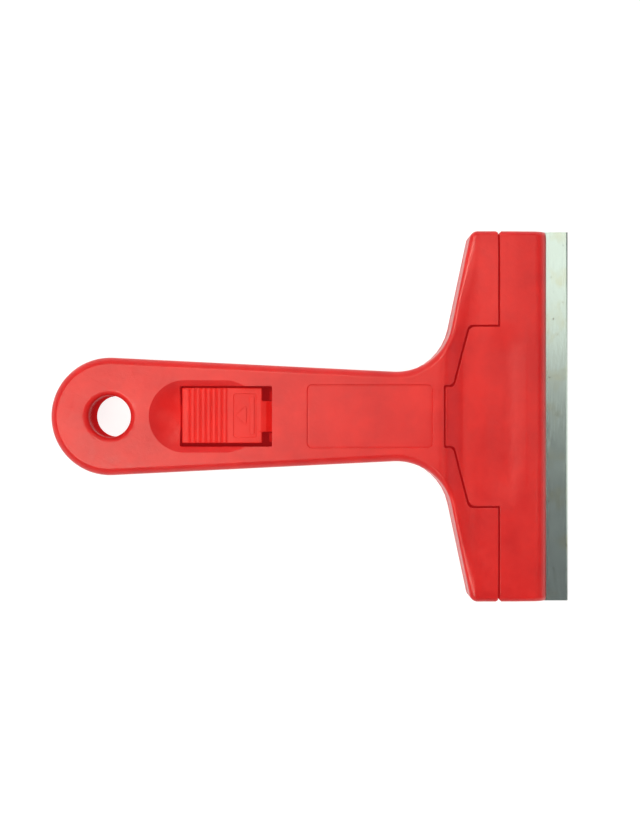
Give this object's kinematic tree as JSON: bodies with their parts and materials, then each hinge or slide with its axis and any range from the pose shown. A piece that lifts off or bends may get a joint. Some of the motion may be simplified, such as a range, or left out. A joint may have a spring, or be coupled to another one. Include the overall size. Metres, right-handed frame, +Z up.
{
  "type": "ceramic hob scraper",
  "caption": "Flat red hand scraper with a wide steel blade in a sprung clamp head, opened by a ribbed rocker button in a thumb scoop, and with a hanging hole in its round end.",
  "frame": {"origin": "middle of the base on the flat back, on the surface that the scraper lies on", "axes": "+X from the hanging hole to the blade's edge, +Y across the head, +Z up out of the button side"},
  "size_m": [0.138, 0.1, 0.014],
  "materials": {
    "shell_plastic": "red moulded plastic, satin with a faint mottle",
    "cover_plastic": "red moulded plastic, satin",
    "jaw_plastic": "red moulded plastic, satin with a faint mottle",
    "button_plastic": "red moulded plastic, satin",
    "pin_steel": "drawn steel",
    "spring_steel": "spring wire",
    "blade_steel": "rolled and ground steel, grey, finely scratched",
    "screw_steel": "zinc-plated steel"
  },
  "bodies": {
    "handle": {"handle_shell": "shell_plastic", "back_cover": "cover_plastic", "jaw_pivot_pin": "pin_steel", "return_spring": "spring_steel", "cover_screws": "screw_steel"},
    "jaw": {"clamp_jaw": "jaw_plastic"},
    "button": {"press_button": "button_plastic"},
    "blade": {"blade": "blade_steel"}
  },
  "joints": [
    {"name": "jaw_open", "type": "hinge", "parent": "handle", "child": "jaw", "pos_m": [0.0307, 0, 0.00655], "axis": [0, -1, 0], "range_deg": [0, 2.6], "stiffness_Nm_per_rad": 7, "springref_deg": -2.86, "deforming": ["return_spring"]},
    {"name": "button_rock", "type": "hinge", "parent": "handle", "child": "button", "pos_m": [-0.0096, 0, 0.00975], "axis": [0, -1, 0], "range_deg": [0, 8.3]},
    {"name": "blade_slide", "type": "slide", "parent": "handle", "child": "blade", "axis": [1, 0, 0], "range_m": [0, 0.02]}
  ],
  "couplings": [
    {"joint": "button_rock", "follows": "jaw_open", "ratio": 3.1784}
  ]
}
